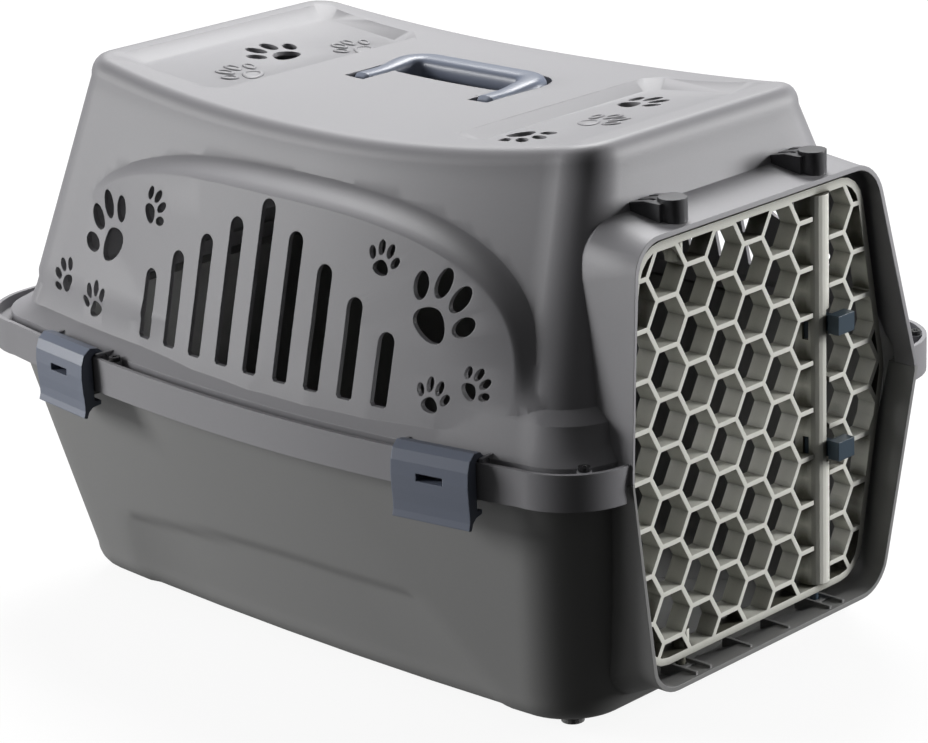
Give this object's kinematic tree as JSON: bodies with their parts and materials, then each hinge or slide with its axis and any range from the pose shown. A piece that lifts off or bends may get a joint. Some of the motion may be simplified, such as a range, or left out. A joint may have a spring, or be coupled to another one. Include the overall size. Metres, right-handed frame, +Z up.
{
  "type": "pet transport carrier",
  "caption": "Moulded plastic pet carrier: tub, vented upper shell, honeycomb front door with a sprung latch, folding top handle and side clips.",
  "frame": {"origin": "centre of the bounding box's bottom face, on the plane the feet stand on", "axes": "+X across the width with the latch on the +X side of the door, -Y out of the door, +Z up"},
  "size_m": [0.3514, 0.48, 0.3044],
  "materials": {
    "upper_plastic": "fine matt moulded texture",
    "tub_plastic": "fine matt moulded texture",
    "blue_grey_plastic": "satin moulded",
    "door_plastic": "satin moulded ivory grey",
    "button_plastic": "satin dark blue",
    "steel": "plain wire and pin steel",
    "black_steel": "blackened screw heads"
  },
  "bodies": {
    "carrier": {"upper_shell": "upper_plastic", "lower_tub": "tub_plastic", "handle_pin_front": "steel", "handle_pin_rear": "steel", "clip_pin_left_front": "steel", "foot_left_front": "tub_plastic", "screw_left_front": "black_steel", "clip_pin_left_rear": "steel", "foot_left_rear": "tub_plastic", "screw_left_rear": "black_steel", "clip_pin_right_front": "steel", "foot_right_front": "tub_plastic", "screw_right_front": "black_steel", "clip_pin_right_rear": "steel", "foot_right_rear": "tub_plastic", "screw_right_rear": "black_steel"},
    "door": {"door_grille": "door_plastic", "latch_channel": "door_plastic", "door_hinge_pin_top": "door_plastic", "door_hinge_pin_bottom": "door_plastic", "latch_spring_upper": "steel", "latch_spring_lower": "steel"},
    "latch_upper": {"latch_button_upper": "button_plastic", "latch_rod_upper": "button_plastic"},
    "latch_lower": {"latch_button_lower": "button_plastic", "latch_rod_lower": "button_plastic"},
    "handle": {"carry_handle": "blue_grey_plastic"},
    "clip_left_front": {"clip_left_front": "blue_grey_plastic"},
    "clip_left_rear": {"clip_left_rear": "blue_grey_plastic"},
    "clip_right_front": {"clip_right_front": "blue_grey_plastic"},
    "clip_right_rear": {"clip_right_rear": "blue_grey_plastic"}
  },
  "joints": [
    {"name": "door_hinge", "type": "hinge", "parent": "carrier", "child": "door", "pos_m": [-0.056, -0.2165, 0.147], "axis": [0, 0, -1], "range_deg": [0, 110]},
    {"name": "latch_upper_slide", "type": "slide", "parent": "door", "child": "latch_upper", "axis": [0, 0, -1], "range_m": [0, 0.01], "stiffness_N_per_m": 350, "springref_m": -0.004, "deforming": ["latch_spring_upper"]},
    {"name": "latch_lower_slide", "type": "slide", "parent": "door", "child": "latch_lower", "axis": [0, 0, 1], "range_m": [0, 0.01], "stiffness_N_per_m": 350, "springref_m": -0.004, "deforming": ["latch_spring_lower"]},
    {"name": "handle_pivot", "type": "hinge", "parent": "carrier", "child": "handle", "pos_m": [-0.002, 0.005, 0.29], "axis": [0, -1, 0], "range_deg": [0, 95]},
    {"name": "clip_left_front_hinge", "type": "hinge", "parent": "carrier", "child": "clip_left_front", "pos_m": [-0.15799, -0.15156, 0.1584], "axis": [-0.1562, 0.9877, 0], "range_deg": [0, 75]},
    {"name": "clip_left_rear_hinge", "type": "hinge", "parent": "carrier", "child": "clip_left_rear", "pos_m": [-0.15738, 0.12968, 0.1584], "axis": [0.136, 0.9907, 0], "range_deg": [0, 75]},
    {"name": "clip_right_front_hinge", "type": "hinge", "parent": "carrier", "child": "clip_right_front", "pos_m": [0.15799, -0.15156, 0.1584], "axis": [-0.1562, -0.9877, 0], "range_deg": [0, 75]},
    {"name": "clip_right_rear_hinge", "type": "hinge", "parent": "carrier", "child": "clip_right_rear", "pos_m": [0.15738, 0.12968, 0.1584], "axis": [0.136, -0.9907, 0], "range_deg": [0, 75]}
  ]
}
